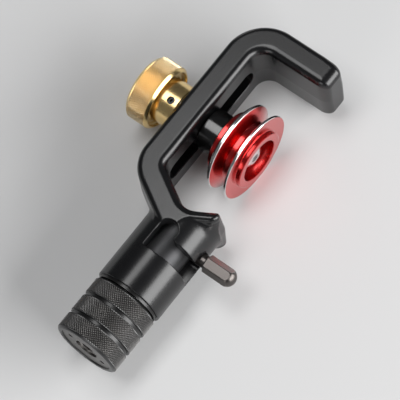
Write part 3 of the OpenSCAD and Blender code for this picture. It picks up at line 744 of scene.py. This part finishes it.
def make_roller(looks):
    """The red roller, with bright cut rims on both flanges."""
    radius = (ROLLER_HIGH.z - ROLLER_LOW.z) / 2
    rear, front = ROLLER_HIGH.y - ORIGIN.y, ROLLER_LOW.y - ORIGIN.y
    half, rim, floor = 3.05, 1.0, 11.7
    rear_boss, front_boss, well = 11.5, 11.2, 8.2
    red, bright = 0, 1
    face = -half - rim
    rings = [(5.5, rear, red), (rear_boss - 0.4, rear, red), (rear_boss, rear - 0.4, red),
             (rear_boss, half + rim + 1.0, red), (rear_boss + 0.25, half + rim + 0.8, red),
             (radius - 1.0, half + rim + 0.8, bright), (radius - 0.15, half + rim + 0.1, bright),
             (radius, half + rim - 0.1, bright), (radius, half + 0.12, bright),
             (radius - 0.15, half - 0.02, red),
             (floor + 0.5, 1.2, red), (floor + 0.12, 1.0, red), (floor, 0.8, red), (floor, -0.8, red),
             (floor + 0.12, -1.0, red), (floor + 0.5, -1.2, red), (radius - 0.15, -half + 0.02, bright),
             (radius, -half - 0.12, bright), (radius, face + 0.15, bright), (radius - 0.15, face, red),
             (front_boss + 0.3, face, red), (front_boss + 0.06, face - 0.12, red),
             (front_boss, face - 0.3, red), (front_boss, face - 1.5, red),
             (front_boss - 0.12, face - 1.75, red),
             (front_boss - 0.4, front, red), (well + 0.35, front, red), (well + 0.08, front + 0.12, red),
             (well, front + 0.35, red), (well, -0.6, red), (5.5, -0.6, red)]
    rings = [(r, y, s, False) for r, y, s in rings]
    piece = lathe("roller_turned", rings, 160, about_roller, bored=True)
    return finish_piece(piece, "roller_unit", "roller", [looks["red"], looks["bright_rim"]])


def make_casting(looks):
    """The casting, meshed at one fixed grid step."""
    low = (HEAD_X, TIP_Y - 1, -HALF_THICK)
    high = (BACK_X, OUTER_Y, HALF_THICK)
    step = BODY_STEP
    piece = field_mesh("casting", casting, low, high, step)
    return finish_piece(piece, "frame", "body_casting", [looks["casting"]])


def make_lever(looks):
    """The lever, finer than the casting because it is small."""
    low = [LEVER_LOW[k] - ORIGIN[k] for k in range(3)]
    high = [LEVER_HIGH[k] - ORIGIN[k] for k in range(3)]
    piece = field_mesh("lever_hexagon", lever, low, high, LEVER_STEP)
    return finish_piece(piece, "blade_unit", "lever_pin", [looks["gunmetal"]])


def paint_nodes(looks):
    """Gives each CAD node that stays visible its finish."""
    # The lock's set screw takes the dark oxide finish as painted shade for its hole
    special = {"blade_carrier": "holder", "lock_set_screw": "oxide"}
    for row in frame["record"]["subparts"]:
        piece = frame["nodes"][row["node"]]
        look = looks[special.get(row["node"], row["material_slot"])]
        piece.data.materials.clear()
        piece.data.materials.append(look)


# ---------------------------------------------------------------- floor, lights and camera
FLOOR_HALF = 4.0
FLOOR_GREY = 0.68
SURROUND = 0.10
LIGHT_DISTANCE = 1.3
LIGHT_AIM = 0.016
CAMERA_AZIMUTH = math.radians(-38.15)
CAMERA_ELEVATION = math.radians(66.20)
CAMERA_ROLL = math.radians(-15.29)
CAMERA_TARGET = (65.83, 1.90, 0)
CAMERA_DISTANCE = 0.99955
CAMERA_LENS = 262.5


def softbox(name, direction, distance, along_x, across, radiance):
    """A rectangular light of a given brightness facing the tool, its first side level with the X axis."""
    light = bpy.data.lights.new(name, "AREA")
    light.shape = "RECTANGLE"
    light.size, light.size_y = along_x, across
    light.energy = radiance * math.pi * along_x * across
    back = Vector(direction).normalized()
    level = (Vector((1, 0, 0)) - back * back.x).normalized()
    turn = Matrix((level, back.cross(level), back)).transposed().to_4x4()
    obj = link(name, light)
    obj.matrix_world = Matrix.Translation(Vector((0, 0, LIGHT_AIM)) + back * distance) @ turn
    return obj


def around(angle, lean):
    """A direction at an angle about the X axis, from straight up toward +Y, leaning toward +X."""
    angle = math.radians(angle)
    flat = math.sqrt(1 - lean * lean)
    return (lean, flat * math.sin(angle), flat * math.cos(angle))


def make_stage():
    """The pale floor, the dim surround and four rectangular lights."""
    size = FLOOR_HALF
    mesh = bpy.data.meshes.new("floor")
    square = [(-size, -size, 0), (size, -size, 0), (size, size, 0), (-size, size, 0)]
    mesh.from_pydata(square, [], [(0, 1, 2, 3)])
    floor = link("floor", mesh)
    look = bpy.data.materials.new("pale_floor")
    look.use_nodes = True
    shader = look.node_tree.nodes["Principled BSDF"]
    shader.inputs["Base Color"].default_value = (FLOOR_GREY, FLOOR_GREY, FLOOR_GREY, 1)
    shader.inputs["Roughness"].default_value = 0.9
    floor.data.materials.append(look)
    world = bpy.data.worlds.new("studio")
    bpy.context.scene.world = world
    world.use_nodes = True
    world.node_tree.nodes["Background"].inputs["Color"].default_value = (0.93, 0.95, 1.0, 1)
    world.node_tree.nodes["Background"].inputs["Strength"].default_value = SURROUND
    softbox("overhead_box", around(12, -0.05), LIGHT_DISTANCE, 1.0, 0.46, 5.0)
    softbox("side_box", around(-69, 0.25), LIGHT_DISTANCE, 1.7, 0.82, 7.4)
    softbox("end_box", (-0.86, -0.1, 0.30), LIGHT_DISTANCE, 0.5, 0.7, 2.4)
    softbox("back_box", (0.6, 0.78, 0.20), LIGHT_DISTANCE, 0.35, 0.3, 2.0)


def make_camera():
    """The viewing angle: azimuth, elevation and roll about a point on the bar."""
    azimuth, elevation, roll = CAMERA_AZIMUTH, CAMERA_ELEVATION, CAMERA_ROLL
    back = Vector((math.sin(azimuth) * math.cos(elevation), -math.cos(azimuth) * math.cos(elevation),
                   math.sin(elevation)))
    level = Vector((math.cos(azimuth), math.sin(azimuth), 0))
    upright = back.cross(level)
    right = level * math.cos(roll) + upright * math.sin(roll)
    up = upright * math.cos(roll) - level * math.sin(roll)
    target = Vector(place([CAMERA_TARGET])[0])
    camera = bpy.data.cameras.new("camera")
    camera.lens = CAMERA_LENS
    camera.sensor_width = 36
    camera.clip_start, camera.clip_end = 0.05, 20
    obj = link("camera", camera)
    turn = Matrix((right, up, back)).transposed().to_4x4()
    obj.matrix_world = Matrix.Translation(target + back * CAMERA_DISTANCE) @ turn
    bpy.context.scene.camera = obj


def main():
    """Builds the visual model, its stage and its camera."""
    bpy.context.scene.view_settings.view_transform = "Standard"
    looks = make_materials()
    paint_nodes(looks)
    make_casting(looks)
    make_feed_knob(looks)
    make_lock_knob(looks)
    make_roller(looks)
    make_lever(looks)
    make_stage()
    make_camera()


main()
